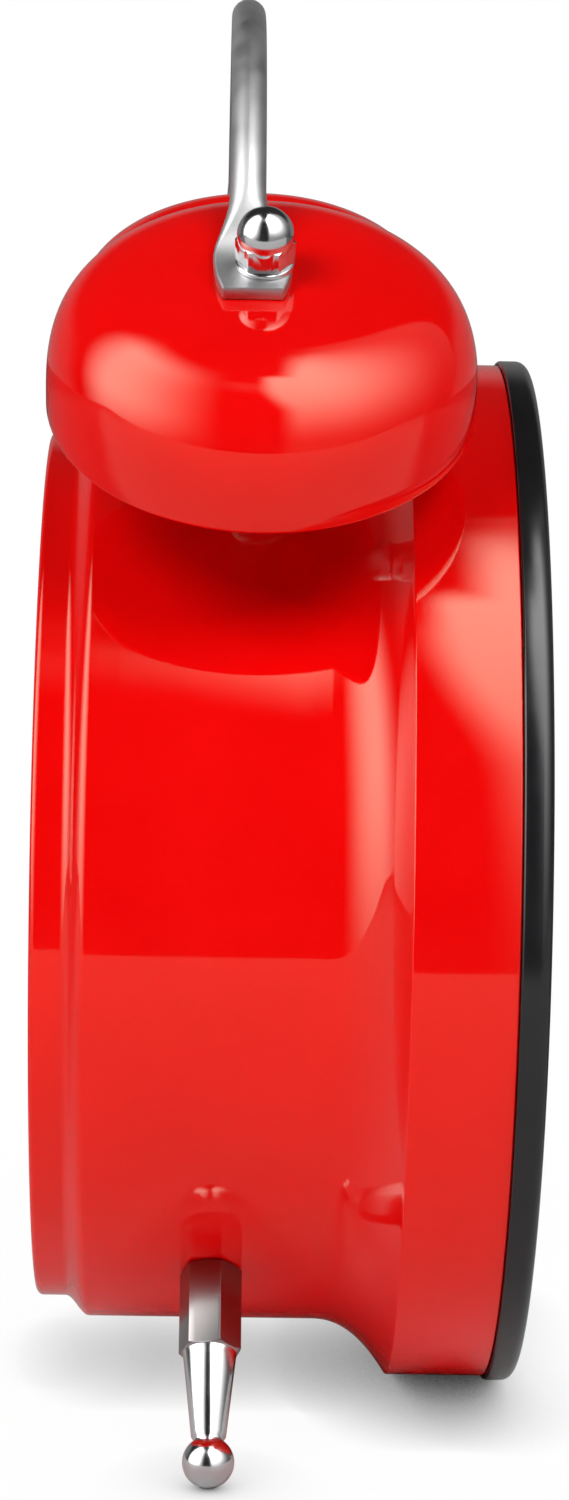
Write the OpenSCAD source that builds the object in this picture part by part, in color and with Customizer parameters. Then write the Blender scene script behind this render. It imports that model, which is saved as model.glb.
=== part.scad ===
// Twin bell alarm clock, millimetres, +Z up, dial facing -Y.
// Origin: bottom centre, on the table under the middle of the clock.

/* [Case] */
// depth from the rear edge to the front of the bezel
case_depth = 54.4; // [52:0.1:70]
// radius of the black bezel, which touches the table
rim_r = 59; // [54:0.5:70]
// how far the bezel stands out past the front band
bezel_step = 0.5; // [0.2:0.1:1]
// how far the front band stands out past the drum
flare_rise = 6.2; // [4:0.1:8]
// how far the drum stands out past the rear band
back_step = 2.3; // [1.5:0.1:3]
// sheet thickness of the shell
wall = 0.8; // [0.6:0.1:1.2]
// width of the rear band
back_w = 3.2; // [2:0.1:4]
// width of the step between the rear band and the drum
step_w = 2.8; // [2:0.1:3.4]
// width of the flare
flare_w = 8.5; // [7:0.1:10]
// width of the front band
band_w = 11.2; // [10:0.1:13]
// how late the flare turns outwards: higher is later and steeper
flare_curve = 2.2; // [1.8:0.1:2.8]
// width of the bezel seen from the side
bezel_w = 3.2; // [2.5:0.1:5]

/* [Bells] */
// outer radius of a bell at its rim
bell_r = 22.9; // [20:0.1:24.5]
// height of a bell
bell_h = 16.4; // [14:0.1:20]
// thickness of the bell metal
bell_wall = 1; // [0.8:0.1:1.6]
// roundness of the bell, 2 is an ellipse
bell_shape = 3.5; // [2.4:0.1:5]
// angle of each bell from straight up
bell_tilt = 32; // [30:0.5:36]
// gap from the drum to the plane of the bell rim
bell_stand = 13.6; // [11:0.1:16]
// place of the bells, as a share of the depth from the rear edge
bell_share = 0.434; // [0.4:0.002:0.5]
// diameter of a bell post
post_d = 6; // [5:0.1:8]
// stud diameter at both ends of a post
stud_d = 3; // [2.5:0.1:4]

/* [Handle] */
// diameter of the handle rod
rod_d = 3.8; // [3:0.1:5]
// top of the handle above the clock axis
handle_top = 99.4; // [96:0.1:110]
// half width of the flattened eye
eye_r = 4.4; // [4:0.1:5]
// thickness of the flattened eye
eye_t = 1.5; // [1.2:0.1:2]
// how far the rod lies behind the bell axis
handle_back = 1.8; // [0:0.1:2.2]

/* [Legs] */
// angle of each leg from straight down
leg_angle = 41.4; // [38:0.1:45]
// place of the legs, as a share of the depth from the rear edge
leg_share = 0.364; // [0.33:0.002:0.45]
// width across the flats of the leg's hexagon
leg_af = 6; // [5:0.1:8]
// length of the hexagon
leg_hex = 10; // [6:0.5:12]
// diameter of the taper at its thick end
leg_thick = 5.9; // [5:0.1:6]
// diameter of the taper at its thin end
leg_thin = 3.65; // [3:0.05:5]
// diameter of the ball foot
foot_d = 5.6; // [5:0.1:7]
// stud diameter of a leg
leg_stud = 4; // [3:0.1:5]

/* [Dial] */
// thickness of the lens
lens_t = 1.8; // [1.2:0.1:2.2]
// thickness of the dial
dial_t = 0.8; // [0.5:0.1:1]
// room between the dial and the lens
hand_room = 6.4; // [6.4:0.1:7]
// width of the bezel seen from the front
view_step = 7; // [6.5:0.1:10]
// length of the hour hand
hour_len = 27; // [20:1:32]
// length of the minute hand
minute_len = 39; // [30:1:44]
// length of the second hand
second_len = 42; // [30:1:46]
// length of the alarm hand
alarm_len = 20; // [12:1:26]

/* [Movement] */
// half width of the movement case, as a share of the drum radius
move_share = 0.516; // [0.48:0.002:0.53]
// running clearance between a shaft and its hole
fit = 0.08; // [0.03:0.01:0.1]
// free space kept between pieces that move past each other
clear = 0.3; // [0.3:0.05:0.4]

/* [Hammer] */
// depth of the hammer pivot under the top of the drum
pivot_drop = 8.3; // [7.5:0.1:9]
// height of the hammer head above the top of the drum
head_rise = 15.2; // [14:0.1:16]
// length of the hammer head across the clock
head_l = 15; // [10:0.5:15.5]
// diameter of the hammer head
head_d = 7; // [5:0.5:8]
// swing of the hammer to each side
hammer_swing = 17; // [10:1:17]

/* [Back] */
// outer face of the back plate, measured from the rear edge
plate_f = 5; // [4.8:0.1:5.4]
// thickness of the back plate
plate_t = 2; // [1.8:0.1:2.4]
// diameter of the setting knobs
knob_d = 13; // [10:0.5:16]
// battery diameter
cell_d = 14.5; // [14.2:0.1:14.5]
// battery length
cell_l = 50.5; // [49:0.5:50.5]

/* [Hidden] */
$fn = 96;
axis_h = rim_r;
band_r = rim_r - bezel_step;
drum_r = band_r - flare_rise;
back_r = drum_r - back_step;
view_r = rim_r - view_step;
in_r = drum_r - wall;
step_f = back_w + step_w;
bell_f = case_depth * bell_share;
leg_f = case_depth * leg_share;
pivot_v = drum_r - pivot_drop;
head_v = drum_r + head_rise;
bell_rho = drum_r + bell_stand;
bell_top = bell_rho + bell_h;
stud_hole = stud_d / 2 + 0.15;

// front stack, distances from the rear edge
bezel_f = case_depth - bezel_w;
crease_f = bezel_f - band_w;
flare_f = crease_f - flare_w;
lens_f = bezel_f - lens_t;
face_f = lens_f - hand_room;
dial_f = face_f - dial_t;
skirt_r = band_r - wall - 0.05;
skirt_in = skirt_r - 1.45;
disc_r = skirt_in - 0.1;

// back cover and battery tray
tray_f = plate_f + plate_t;
cell_f = tray_f + cell_d / 2 + 0.75;
tray_end = cell_f + cell_d / 2 + 0.5;
tray_wall = 1.5;

// movement between the tray and the dial: lay scales its layers, plan scales its face
move_f = tray_end + tray_wall + 0.25;
lay = (dial_f - move_f) / 17.7;
move_half = drum_r * move_share;
plan = move_half / 27;
move_wall = 1.5 * plan;
front_in = dial_f - 1.8 * lay;
alarm_l = front_in - 1.8 * lay;
hour_l = alarm_l - 2 * lay;
cannon_l = hour_l - 2.8 * lay;
centre_l = cannon_l - 2.2 * lay;
mid_l = centre_l - 1.4 * lay;
rear_in = move_f + 1.5 * lay;
second_l = rear_in + lay;
pivot_f = move_f + 0.8 * lay;
pivot_top = front_in + 0.7 * lay;

// nested tubes, outer radii from the middle outwards
sec_r = 0.5;
can_r = 1.25;
hr_r = 1.95;
al_r = 2.7;
bush_r = 4;
stem_r = 1.2;
arbor_r = 0.5;

// tops of the tubes in front of the dial
bush_top = face_f + 2.2;
alarm_top = bush_top + 1.2;
hour_top = alarm_top + 1;
minute_top = hour_top + 0.9;
second_top = minute_top + 0.8;

// gear modules and centre distances
m_set = 0.65 * plan;
m_alarm = 0.6 * plan;
m_third = 0.36 * plan;
m_centre = 0.34 * plan;
m_inter = 0.36 * plan;
m_rotor = 0.3 * plan;
set_at = 40 * m_set / 2;
alarm_at = 48 * m_alarm / 2;
third_at = 68 * m_third / 2;
inter_at = 57 * m_inter / 2;
rotor_at = 54 * m_rotor / 2;
set_a = 150;
alarm_a = 30;
rotor_a = 20;
set_x = set_at * cos(set_a);
set_v = set_at * sin(set_a);
stem_x = alarm_at * cos(alarm_a);
stem_v = alarm_at * sin(alarm_a);
rotor_x = rotor_at * cos(rotor_a);
rotor_v = inter_at + rotor_at * sin(rotor_a);

// battery door, screws and switch
cover_r = back_r - wall - 1.2;
cell_v = -cover_r * 0.417;
tray_x = cell_l / 2 + 1.75;
tray_v = cell_d / 2 + 0.5;
door_t = 1.6;
barrel_r = door_t / 2;
door_f = plate_f + barrel_r;
door_low = cell_v - tray_v - 1.35;
door_top = cell_v + tray_v;
screw_at = cover_r - 5;
screw_angles = [60, 180, 300];
switch_v = cover_r * 0.56;

// handle, in the plane of the front view
end_b = bell_top + rod_d / 2 + 0.3;
end_t = eye_r + 1.5;
end_x = end_b * sin(bell_tilt) - end_t * cos(bell_tilt);
end_y = end_b * cos(bell_tilt) + end_t * sin(bell_tilt);
arch_rise = handle_top - rod_d / 2 - end_y;
arch_r = (end_x * end_x + arch_rise * arch_rise) / (2 * arch_rise);
arch_y = handle_top - rod_d / 2 - arch_r;
arch_a = atan2(end_x, end_y - arch_y);

// clock frame: x to the right, y up from the clock axis, z from the rear edge to the dial
module clock() {
    translate([0, case_depth / 2, axis_h])
        rotate([90, 0, 0])
            children();
}

// radial frame: z points away from the clock axis at angle a from straight up, clockwise from the front
module radial(a, f) {
    clock()
        translate([0, 0, f])
            rotate([0, 0, -a])
                rotate([-90, 0, 0])
                    children();
}

// tube from z0 to z1
module tube(r, bore, z0, z1) {
    translate([0, 0, z0])
        difference() {
            cylinder(r = r, h = z1 - z0);
            translate([0, 0, -1])
                cylinder(r = bore, h = z1 - z0 + 2);
        }
}

// plain round bar from z0 to z1
module bar(r, z0, z1) {
    translate([0, 0, z0])
        cylinder(r = r, h = z1 - z0);
}

// box between two corners
module block(a, b) {
    translate(a)
        cube([b[0] - a[0], b[1] - a[1], b[2] - a[2]]);
}

// hexagon prism measured across its flats
module hexagon(af, z0, z1) {
    translate([0, 0, z0])
        cylinder(r = af / sqrt(3), h = z1 - z0, $fn = 6);
}

// square with cut corners
module cut_square(h, c) {
    polygon([[-h + c, -h], [h - c, -h], [h, -h + c], [h, h - c],
        [h - c, h], [-h + c, h], [-h, h - c], [-h, -h + c]]);
}

// point at radius r and angle a
function polar(r, a) = [r * cos(a), r * sin(a)];

// angle that a width w takes at radius r
function span(w, r) = w / r * 180 / PI;

// toothed disc: n teeth of module m, one tooth centred on angle a
module teeth(n, m, a) {
    rp = n * m / 2;
    hp = span(0.60 * m, rp);
    polygon([for (i = [0 : n - 1])
        for (p = [[rp - 1.25 * m, -0.95 * hp], [rp, -hp], [rp + 0.85 * m, -0.34 * hp],
            [rp + 0.85 * m, 0.34 * hp], [rp, hp], [rp - 1.25 * m, 0.95 * hp]])
            polar(p[0], a + i * 360 / n + p[1])]);
}

// gear with a round bore
module gear(n, m, a, z0, z1, bore) {
    translate([0, 0, z0])
        linear_extrude(z1 - z0)
            difference() {
                teeth(n, m, a);
                circle(r = bore);
            }
}

// gear on a solid shaft
module solid_gear(n, m, a, z0, z1) {
    translate([0, 0, z0])
        linear_extrude(z1 - z0)
            teeth(n, m, a);
}

// flare of the shell: leaves the drum smoothly and is steepest at the crease
flare_df = crease_f - flare_f;
flare_dr = band_r - drum_r;

// outer line of the shell from the rear to the front, as [radius, distance]
function shell_line() = concat(
    [for (t = [0 : 15 : 90]) [back_r - 0.7 + 0.7 * sin(t), 0.7 - 0.7 * cos(t)]],
    [for (t = [0 : 0.1 : 1.001])
        [back_r + (drum_r - back_r) * (1 - cos(180 * t)) / 2, back_w + (step_f - back_w) * t]],
    [for (t = [0 : 0.1 : 0.901]) [drum_r + flare_dr * pow(t, flare_curve), flare_f + flare_df * t]],
    [[band_r, crease_f], [band_r, bezel_f]]);

function inner_line() = concat(
    [[band_r - wall, bezel_f], [band_r - wall, crease_f]],
    [for (i = [0 : 0.1 : 0.901])
        let (t = 0.9 - i)
            [in_r + flare_dr * pow(max(t, 0), flare_curve), flare_f + flare_df * t]],
    [for (i = [0 : 0.1 : 1.001])
        let (t = 1 - i)
            [back_r - wall + (drum_r - back_r) * (1 - cos(180 * t)) / 2, back_w + (step_f - back_w) * t]],
    [[back_r - wall, wall], [cover_r + 0.2, wall], [cover_r + 0.2, 0]]);

// painted steel drum with its rolled rear edge and the lugs for the back screws
module case_shell() {
    color([0.86, 0.02, 0.02])
        difference() {
            union() {
                clock()
                    rotate_extrude()
                        polygon(concat(shell_line(), inner_line()));
                for (a = screw_angles)
                    clock()
                        rotate([0, 0, a])
                            block([-4.5, screw_at - 3, tray_f], [4.5, drum_r - wall / 2, tray_f + 1.2]);
            }
            for (a = screw_angles)
                clock()
                    rotate([0, 0, a])
                        translate([0, screw_at, tray_f - 1])
                            cylinder(r = 1.1, h = 4);
            for (s = [-1, 1])
                radial(s * bell_tilt, bell_f)
                    bar(stud_hole, drum_r - 4, drum_r + 4);
            for (s = [-1, 1])
                radial(180 - s * leg_angle, leg_f)
                    bar(leg_stud / 2 + 0.1, drum_r - 4, drum_r + 4);
            clock()
                block([-slot_x, drum_r - 4, bell_f - 2.2], [slot_x, drum_r + 4, bell_f + 2.2]);
        }
}

// half width of the slot that the hammer arm swings in
slot_x = 1.2 + (drum_r - pivot_v) * tan(hammer_swing) + 0.8;

// black ring with a skirt inside the front band
module front_bezel() {
    color([0.05, 0.05, 0.05])
        clock()
            rotate_extrude()
                polygon(concat(
                    [[rim_r, bezel_f]],
                    [for (t = [0 : 15 : 90]) [rim_r - 1.2 + 1.2 * cos(t), case_depth - 1.2 + 1.2 * sin(t)]],
                    [[view_r + 3, case_depth], [view_r, bezel_f + 0.7], [view_r, bezel_f],
                        [skirt_in, bezel_f], [skirt_in, dial_f], [skirt_r, dial_f], [skirt_r, bezel_f]]));
}

// flat clear lens
module lens() {
    color([0.9, 0.95, 1, 0.3])
        clock()
            bar(disc_r, lens_f, bezel_f);
}

// ring that holds the lens away from the dial
module dial_ring() {
    color([0.9, 0.9, 0.88])
        clock()
            rotate_extrude()
                polygon([[disc_r, face_f], [disc_r, lens_f],
                    [view_r + 0.6, lens_f], [view_r - 1.6, face_f]]);
}

// printed disc
module dial() {
    color([0.97, 0.96, 0.92])
        clock()
            tube(disc_r, bush_r + 0.1, dial_f, face_f);
}

// printed hour bars and minute ticks
module dial_marks() {
    color([0.05, 0.05, 0.05])
        clock()
            for (i = [0 : 59])
                rotate([0, 0, i * 6])
                    if (i % 5 == 0)
                        block([-0.7, view_r - 7, face_f], [0.7, view_r - 3, face_f + 0.1]);
                    else
                        block([-0.25, view_r - 5, face_f], [0.25, view_r - 3, face_f + 0.1]);
}

// brass nut that clamps the dial on the movement
module dial_nut() {
    color([0.8, 0.62, 0.25])
        clock()
            difference() {
                hexagon(11, face_f, face_f + 1.8);
                bar(bush_r, face_f - 1, face_f + 3);
            }
}

// tapered hand with a hub, pointing at clock angle a
module hand(len, tail, w, hub, bore, z0, t, a) {
    clock()
        rotate([0, 0, -a])
            translate([0, 0, z0])
                linear_extrude(t)
                    difference() {
                        union() {
                            circle(r = hub);
                            polygon([[-w / 2, -tail], [w / 2, -tail], [w * 0.6, len * 0.7],
                                [0, len], [-w * 0.6, len * 0.7]]);
                        }
                        circle(r = bore);
                    }
}

module hour_hand() {
    color([0.04, 0.04, 0.04])
        hand(hour_len, 0, 3, hr_r + 1.6, hr_r, hour_top - 0.7, 0.6, 305);
}

module minute_hand() {
    color([0.04, 0.04, 0.04])
        hand(minute_len, 0, 2.6, can_r + 2, can_r, minute_top - 0.6, 0.5, 60);
}

module second_hand() {
    color([0.75, 0.05, 0.05])
        hand(second_len, 12, 0.9, sec_r + 1.6, sec_r, second_top - 0.5, 0.4, 190);
}

module alarm_hand() {
    color([0.85, 0.65, 0.2])
        hand(alarm_len, 0, 1.6, al_r + 1.5, al_r, alarm_top - 0.8, 0.6, 210);
}

// front half of the movement case with the threaded bush
module movement_front() {
    color([0.12, 0.12, 0.13])
        clock()
            difference() {
                union() {
                    translate([0, 0, front_in])
                        linear_extrude(dial_f - front_in)
                            cut_square(move_half, 4 * plan);
                    bar(bush_r, front_in, bush_top);
                }
                bar(al_r + fit, front_in - 1, bush_top + 1);
                for (p = [[0, -third_at], [stem_x, stem_v], [set_x, set_v], [rotor_x, rotor_v]])
                    bar_at(p, arbor_r + fit, front_in - 1, front_in + lay);
            }
}

// rear half of the movement case
module movement_back() {
    color([0.12, 0.12, 0.13])
        clock()
            difference() {
                translate([0, 0, move_f])
                    linear_extrude(front_in - move_f)
                        cut_square(move_half, 4 * plan);
                translate([0, 0, rear_in])
                    linear_extrude(front_in)
                        cut_square(move_half - move_wall, 3.4 * plan);
                for (p = [[set_x, set_v], [stem_x, stem_v]])
                    bar_at(p, stem_r + fit, move_f - 1, rear_in + 1);
                for (p = [[0, 0], [0, -third_at], [0, inter_at], [rotor_x, rotor_v]])
                    bar_at(p, arbor_r + fit, move_f + 0.5 * lay, rear_in + 1);
            }
}

// middle plate that carries the inner ends of the train
module movement_plate() {
    color([0.85, 0.85, 0.8])
        clock()
            difference() {
                translate([0, 0, mid_l])
                    linear_extrude(lay)
                        cut_square(move_half - move_wall, 3.4 * plan);
                bar_at([0, 0], can_r + 0.4, mid_l - 1, mid_l + 2);
                bar_at([set_x, set_v], stem_r + 0.4, mid_l - 1, mid_l + 2);
                bar_at([stem_x, stem_v], stem_r + 0.4, mid_l - 1, mid_l + 2);
                bar_at([0, -third_at], 4.85 * m_centre + 0.6, mid_l - 1, mid_l + 2);
                bar_at([0, inter_at], arbor_r + fit, mid_l - 1, mid_l + 2);
                bar_at([rotor_x, rotor_v], arbor_r + 0.4, mid_l - 1, mid_l + 2);
            }
}

// board on the middle plate, with its clock chip and crystal
module circuit_board() {
    color([0.05, 0.3, 0.12])
        clock()
            translate([0, 0, mid_l + lay])
                scale([plan, plan, lay]) {
                    block([-20, -24.5, 0], [20, -15.5, 1]);
                    bar_at([-8, -20], 2.5, 0.5, 2.2);
                    block([4, -21, 0.5], [9, -18, 3]);
                }
}

// round bar at a point of the clock's face
module bar_at(p, r, z0, z1) {
    translate([p[0], p[1], 0])
        bar(r, z0, z1);
}

// iron frame round the rotor magnet
stator_f = cannon_l + 0.6 * lay;
magnet_r = 2.9 * plan;
module stator() {
    color([0.6, 0.6, 0.62])
        clock()
            translate([0, 0, stator_f])
                linear_extrude(lay)
                    difference() {
                        scale([plan, plan])
                            polygon([[1.8, 9.2], [23.6, 9.2], [23.6, 23.4], [20.6, 23.4],
                                [20.6, 17.2], [4.8, 17.2], [4.8, 23.4], [1.8, 23.4]]);
                        translate([rotor_x, rotor_v])
                            circle(r = magnet_r * 1.12);
                    }
}

// wound coil on its iron core
coil_r = 3 * min(lay, plan);
module coil() {
    color([0.72, 0.36, 0.16])
        clock() {
            block([1.8 * plan, 20 * plan, stator_f + lay], [23.6 * plan, 23 * plan, stator_f + 2.4 * lay]);
            translate([6 * plan, 21.5 * plan, stator_f + 1.7 * lay])
                rotate([0, 90, 0])
                    cylinder(r = coil_r, h = 13.4 * plan);
        }
}

// rotor magnet with its pinion
module rotor() {
    color([0.3, 0.3, 0.33])
        clock()
            translate([rotor_x, rotor_v, 0]) {
                bar(arbor_r, pivot_f, pivot_top);
                bar(magnet_r, cannon_l, cannon_l + 2.4 * lay);
                solid_gear(6, m_rotor, rotor_a + 180, second_l + 1.4 * lay, second_l + 2.8 * lay);
            }
}

// wheel between the rotor and the second wheel
module intermediate_wheel() {
    color([0.9, 0.9, 0.88])
        clock()
            translate([0, inter_at, 0]) {
                bar(arbor_r, pivot_f, mid_l + 0.9 * lay);
                solid_gear(48, m_rotor, rotor_a + 180 / 48, second_l + 1.6 * lay, second_l + 2.6 * lay);
                solid_gear(12, m_inter, -90, second_l - 0.2 * lay, second_l + 1.6 * lay);
            }
}

// wheel of the second hand with its long thin arbor
module second_wheel() {
    color([0.9, 0.9, 0.88])
        clock() {
            bar(sec_r, pivot_f, second_top);
            solid_gear(45, m_inter, 90 + 180 / 45, second_l, second_l + lay);
            solid_gear(8, m_third, -90, second_l + lay, mid_l - 0.2 * lay);
        }
}

// wheel between the second wheel and the centre wheel
module third_wheel() {
    color([0.9, 0.9, 0.88])
        clock()
            translate([0, -third_at, 0]) {
                bar(arbor_r, pivot_f, pivot_top);
                solid_gear(60, m_third, 90 + 180 / 60, second_l + 1.5 * lay, second_l + 2.4 * lay);
                solid_gear(8, m_centre, 90, second_l + 2.4 * lay, centre_l + 1.6 * lay);
            }
}

// wheel that carries the cannon pinion round by friction
module centre_wheel() {
    color([0.82, 0.66, 0.3])
        clock()
            gear(64, m_centre, -90 + 180 / 64, centre_l, centre_l + lay, can_r + fit);
}

// tube of the minute hand with its pinion
module cannon_pinion() {
    color([0.82, 0.66, 0.3])
        clock() {
            tube(can_r, sec_r + fit, mid_l, minute_top);
            gear(10, m_set, set_a, cannon_l, cannon_l + 2.2 * lay, can_r - 0.05);
        }
}

// wheel of the motion work, on the stem that the time knob turns
module minute_wheel() {
    color([0.9, 0.9, 0.88])
        clock()
            translate([set_x, set_v, 0]) {
                bar(stem_r, plate_f - 2.4, cannon_l + 0.4 * lay);
                bar(arbor_r, cannon_l, pivot_top);
                solid_gear(30, m_set, set_a + 180 + 180 / 30, cannon_l + 0.4 * lay, cannon_l + 1.8 * lay);
                solid_gear(8, m_set, set_a + 180, cannon_l + 1.8 * lay, hour_l + 1.3 * lay);
            }
}

// wheel and tube of the hour hand
module hour_wheel() {
    color([0.9, 0.9, 0.88])
        clock() {
            tube(hr_r, can_r + fit, hour_l, hour_top);
            gear(32, m_set, set_a + 180 / 32, hour_l, hour_l + 1.2 * lay, hr_r - 0.05);
        }
}

// wheel and tube of the alarm hand
module alarm_wheel() {
    color([0.9, 0.9, 0.88])
        clock() {
            tube(al_r, hr_r + fit, alarm_l, alarm_top);
            gear(36, m_alarm, alarm_a + 180 / 36, alarm_l, alarm_l + 1.4 * lay, al_r - 0.05);
        }
}

// stem that the alarm knob turns, with its pinion
module alarm_stem() {
    color([0.9, 0.9, 0.88])
        clock()
            translate([stem_x, stem_v, 0]) {
                bar(stem_r, plate_f - 2.4, alarm_l);
                bar(arbor_r, alarm_l, pivot_top);
                solid_gear(12, m_alarm, alarm_a + 180, alarm_l - 0.2 * lay, alarm_l + 1.5 * lay);
            }
}

// grooved knob on a stem
module knob(x, v) {
    clock()
        translate([x, v, 0])
            difference() {
                bar(knob_d / 2, 0.9, plate_f - clear);
                for (i = [0 : 17])
                    rotate([0, 0, i * 20])
                        translate([knob_d / 2 + 0.5, 0, 0])
                            bar(1, 0, plate_f);
                bar(stem_r, plate_f - 2.4, plate_f + 1);
            }
}

module set_knob() {
    color([0.08, 0.08, 0.08])
        knob(set_x, set_v);
}

module alarm_knob() {
    color([0.08, 0.08, 0.08])
        knob(stem_x, stem_v);
}

// plastic back with the battery tray
module back_cover() {
    color([0.07, 0.07, 0.07])
        clock()
            difference() {
                union() {
                    bar(cover_r, plate_f, tray_f);
                    tube(cover_r, cover_r - 1.5, 0.5, plate_f + 0.5);
                    block([-tray_x - tray_wall, cell_v - tray_v - tray_wall, tray_f - 0.5],
                        [tray_x + tray_wall, cell_v + tray_v + tray_wall, tray_end + tray_wall]);
                }
                block([-tray_x, cell_v - tray_v, plate_f - 1], [tray_x, cell_v + tray_v, tray_end]);
                block([-tray_x - clear, door_low - barrel_r - clear, plate_f - 1],
                    [tray_x + clear, door_top + clear, tray_f + 0.1]);
                translate([-tray_x - 2, door_low, door_f])
                    rotate([0, 90, 0])
                        cylinder(r = 0.45 + fit, h = 2 * tray_x + 4);
                translate([set_x, set_v, 0])
                    bar(stem_r + 0.4, plate_f - 1, tray_f + 1);
                translate([stem_x, stem_v, 0])
                    bar(stem_r + 0.4, plate_f - 1, tray_f + 1);
                for (a = screw_angles)
                    rotate([0, 0, a])
                        translate([0, screw_at, 0])
                            bar(1.25, plate_f - 1, tray_f + 1);
                block([-4.3, switch_v - 1.4, plate_f - 1], [4.3, switch_v + 1.4, tray_f + 1]);
            }
}

// three pan head screws
module back_screws() {
    color([0.75, 0.75, 0.77])
        clock()
            for (a = screw_angles)
                rotate([0, 0, a])
                    translate([0, screw_at, 0])
                        difference() {
                            union() {
                                bar(2.25, plate_f - 1.5, plate_f);
                                bar(1.1, plate_f, tray_f + 4);
                            }
                            block([-2, -0.3, plate_f - 2], [2, 0.3, plate_f - 0.8]);
                            block([-0.3, -2, plate_f - 2], [0.3, 2, plate_f - 0.8]);
                        }
}

// door over the battery, hinged at its lower edge
module battery_door() {
    color([0.09, 0.09, 0.09])
        clock()
            difference() {
                union() {
                    translate([-tray_x, door_low, door_f])
                        rotate([0, 90, 0])
                            cylinder(r = barrel_r, h = 2 * tray_x);
                    translate([-tray_x - 1.7, door_low, door_f])
                        rotate([0, 90, 0])
                            cylinder(r = 0.45, h = 2 * tray_x + 3.4);
                    block([-tray_x, door_low, plate_f], [tray_x, door_top, plate_f + door_t]);
                }
                for (i = [0 : 3])
                    block([-6, door_top - 3 - i * 1.6, plate_f - 1],
                        [6, door_top - 2.2 - i * 1.6, plate_f + 0.5]);
            }
}

// one size AA cell
module battery() {
    color([0.3, 0.32, 0.36])
        clock()
            translate([-cell_l / 2, cell_v, cell_f])
                rotate([0, 90, 0]) {
                    cylinder(r = cell_d / 2, h = cell_l - 1.4);
                    cylinder(r = 2.7, h = cell_l);
                }
}

// sprung contact at each end of the cell
module battery_contacts() {
    color([0.8, 0.8, 0.82])
        clock() {
            block([cell_l / 2, cell_v - 4, cell_f - 4], [cell_l / 2 + 0.4, cell_v + 4, cell_f + 6]);
            block([-tray_x, cell_v - 4, cell_f - 4], [-tray_x + 0.4, cell_v + 4, cell_f + 6]);
            translate([-tray_x + 0.4, cell_v, cell_f])
                rotate([0, 90, 0])
                    cylinder(r1 = 4, r2 = 2.5, h = tray_x - 0.4 - cell_l / 2);
        }
}

// slide that turns the alarm on and off
module alarm_switch() {
    color([0.8, 0.1, 0.08])
        clock()
            translate([-2, switch_v, 0]) {
                block([-2.6, -2.6, 1.4], [2.6, 2.6, plate_f - clear]);
                block([-1.9, -1.1, plate_f - 1], [1.9, 1.1, tray_f + 0.8]);
                block([-4, -3, tray_f + clear], [4, 3, tray_f + 1.4]);
            }
}

// line of a bell from its rim to its hole, as [radius, height]
function bell_line(r, h) =
    let (last = acos(pow(stud_hole / r, bell_shape / 2)))
        [for (i = [0 : 24])
            let (t = last * i / 24)
                [r * pow(cos(t), 2 / bell_shape), h * pow(sin(t), 2 / bell_shape)]];

function reversed(v) = [for (i = [len(v) - 1 : -1 : 0]) v[i]];

module bell(s) {
    radial(s * bell_tilt, bell_f)
        translate([0, 0, bell_rho])
            rotate_extrude()
                polygon(concat(bell_line(bell_r, bell_h),
                    reversed(bell_line(bell_r - bell_wall, bell_h - bell_wall))));
}

module bell_left() {
    color([0.86, 0.02, 0.02])
        bell(-1);
}

module bell_right() {
    color([0.86, 0.02, 0.02])
        bell(1);
}

// stud nut inside the case: the corners of its face meet a wall of radius r
function nut_top(af, r) = sqrt(r * r - af * af / 3);
post_af = stud_d * 1.83;
strap_t = 1;
post_nut = nut_top(post_af, in_r - strap_t);
leg_nut_af = leg_stud * 1.75;
leg_nut = nut_top(leg_nut_af, in_r);

// columns that hold the bells, with a stud at each end
module bell_posts() {
    color([0.8, 0.8, 0.82])
        for (s = [-1, 1])
            radial(s * bell_tilt, bell_f) {
                bar(post_d / 2, drum_r, bell_top - bell_wall);
                bar(stud_d / 2, post_nut - 3, bell_top + eye_t + 3.6);
            }
}

module post_nuts() {
    color([0.8, 0.8, 0.82])
        for (s = [-1, 1])
            radial(s * bell_tilt, bell_f)
                difference() {
                    hexagon(post_af, post_nut - 2.4, post_nut);
                    bar(stud_d / 2, post_nut - 4, post_nut + 1);
                }
}

// domed nut on each bell
nut_af = stud_d * 1.83;
nut_f = bell_top + eye_t;
dome_r = nut_af * 0.545;
module cap_nuts() {
    color([0.85, 0.85, 0.87])
        for (s = [-1, 1])
            radial(s * bell_tilt, bell_f)
                difference() {
                    union() {
                        hexagon(nut_af, nut_f, nut_f + 3);
                        bar(nut_af * 0.47, nut_f + 3, nut_f + 3.6);
                        translate([0, 0, nut_f + 3.6])
                            sphere(r = dome_r);
                    }
                    bar(stud_d / 2, nut_f - 1, nut_f + 3.7);
                }
}

// bent rod with a flattened eye at each end
module handle() {
    color([0.85, 0.85, 0.87])
        union() {
            clock()
                translate([0, arch_y, bell_f - handle_back])
                    rotate([0, 0, 90 - arch_a])
                        rotate_extrude(angle = 2 * arch_a)
                            translate([arch_r, 0])
                                circle(d = rod_d, $fn = 48);
            for (s = [-1, 1]) {
                clock()
                    translate([s * end_x, end_y, bell_f - handle_back])
                        sphere(d = rod_d + 0.3);
                radial(s * bell_tilt, bell_f)
                    difference() {
                        union() {
                            bar(eye_r, bell_top, bell_top + eye_t);
                            translate([-s * end_t / 2, handle_back, bell_top + eye_t / 2])
                                cube([end_t, 2 * (eye_r - handle_back), eye_t], center = true);
                            translate([-s * end_t, handle_back, 0])
                                bar(rod_d / 2 - 0.2, bell_top, end_b);
                        }
                        bar(stud_hole, bell_top - 1, bell_top + eye_t + 1);
                    }
            }
        }
}

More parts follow.
